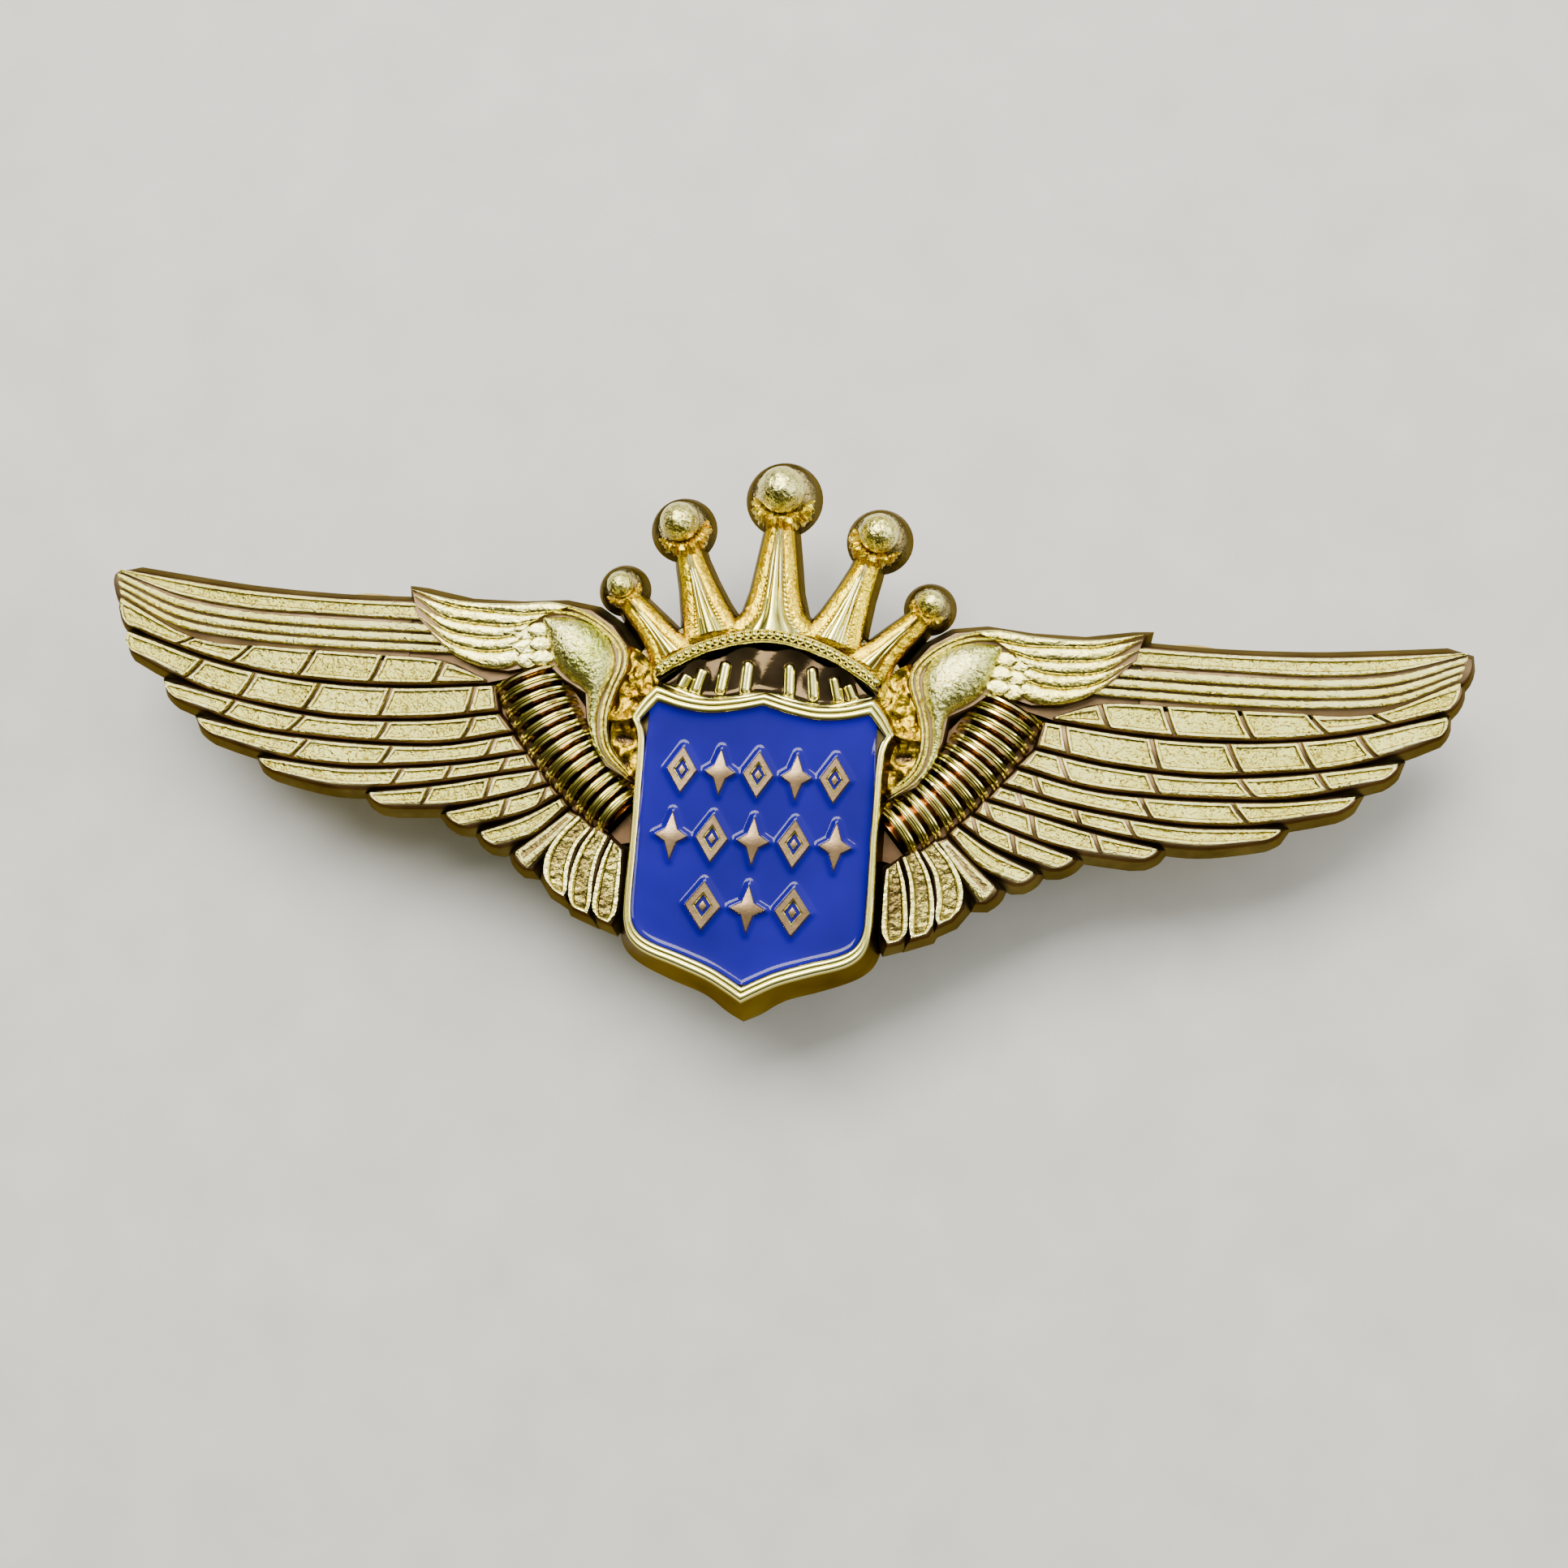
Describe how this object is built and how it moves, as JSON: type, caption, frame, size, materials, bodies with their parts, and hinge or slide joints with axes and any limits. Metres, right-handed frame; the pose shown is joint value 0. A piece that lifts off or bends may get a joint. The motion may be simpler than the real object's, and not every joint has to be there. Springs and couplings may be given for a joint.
{
  "type": "pilot wings pin",
  "caption": "Cast metal wings with a crown over an enamelled shield, worn on sharp posts with butterfly clutches that pull off.",
  "frame": {"origin": "middle of the pin's box, in the plane that the clutches' squeeze wings touch", "axes": "+Z out of the front, +X towards the right-hand wing tip, +Y towards the crown"},
  "size_m": [0.077, 0.0318, 0.0116],
  "materials": {
    "gold_plate": "polished, bright gold plate",
    "blue_enamel": "glossy translucent enamel",
    "solder_pad": "satin plate with solder bloom",
    "post_metal": "drawn, plated",
    "clutch_brass": "stamped, polished",
    "spring_brass": "spring temper, brushed"
  },
  "bodies": {
    "emblem": {"wings_casting": "gold_plate", "crown_casting": "gold_plate", "shield_casting": "gold_plate", "shield_enamel": "blue_enamel", "post_pad_left": "solder_pad", "post_nail_left": "post_metal", "post_pad_centre": "solder_pad", "post_nail_centre": "post_metal", "post_pad_right": "solder_pad", "post_nail_right": "post_metal"},
    "clutch_left": {"clutch_disc_left": "clutch_brass", "clutch_cap_left": "clutch_brass"},
    "leaf_left_outer": {"clutch_leaf_left_outer": "spring_brass"},
    "leaf_left_inner": {"clutch_leaf_left_inner": "spring_brass"},
    "clutch_centre": {"clutch_disc_centre": "clutch_brass", "clutch_cap_centre": "clutch_brass"},
    "leaf_centre_outer": {"clutch_leaf_centre_outer": "spring_brass"},
    "leaf_centre_inner": {"clutch_leaf_centre_inner": "spring_brass"},
    "clutch_right": {"clutch_disc_right": "clutch_brass", "clutch_cap_right": "clutch_brass"},
    "leaf_right_outer": {"clutch_leaf_right_outer": "spring_brass"},
    "leaf_right_inner": {"clutch_leaf_right_inner": "spring_brass"}
  },
  "joints": [
    {"name": "clutch_slide_left", "type": "slide", "parent": "emblem", "child": "clutch_left", "axis": [0, 0, -1], "range_m": [0, 0.009]},
    {"name": "squeeze_left_outer", "type": "slide", "parent": "clutch_left", "child": "leaf_left_outer", "axis": [1, 0, 0], "range_m": [0, 0.0006], "stiffness_N_per_m": 400},
    {"name": "squeeze_left_inner", "type": "slide", "parent": "clutch_left", "child": "leaf_left_inner", "axis": [-1, 0, 0], "range_m": [0, 0.0006], "stiffness_N_per_m": 400},
    {"name": "clutch_slide_centre", "type": "slide", "parent": "emblem", "child": "clutch_centre", "axis": [0, 0, -1], "range_m": [0, 0.009]},
    {"name": "squeeze_centre_outer", "type": "slide", "parent": "clutch_centre", "child": "leaf_centre_outer", "axis": [1, 0, 0], "range_m": [0, 0.0006], "stiffness_N_per_m": 400},
    {"name": "squeeze_centre_inner", "type": "slide", "parent": "clutch_centre", "child": "leaf_centre_inner", "axis": [-1, 0, 0], "range_m": [0, 0.0006], "stiffness_N_per_m": 400},
    {"name": "clutch_slide_right", "type": "slide", "parent": "emblem", "child": "clutch_right", "axis": [0, 0, -1], "range_m": [0, 0.009]},
    {"name": "squeeze_right_outer", "type": "slide", "parent": "clutch_right", "child": "leaf_right_outer", "axis": [1, 0, 0], "range_m": [0, 0.0006], "stiffness_N_per_m": 400},
    {"name": "squeeze_right_inner", "type": "slide", "parent": "clutch_right", "child": "leaf_right_inner", "axis": [-1, 0, 0], "range_m": [0, 0.0006], "stiffness_N_per_m": 400}
  ],
  "couplings": [
    {"joint": "squeeze_left_inner", "follows": "squeeze_left_outer", "ratio": 1},
    {"joint": "squeeze_centre_inner", "follows": "squeeze_centre_outer", "ratio": 1},
    {"joint": "squeeze_right_inner", "follows": "squeeze_right_outer", "ratio": 1}
  ]
}
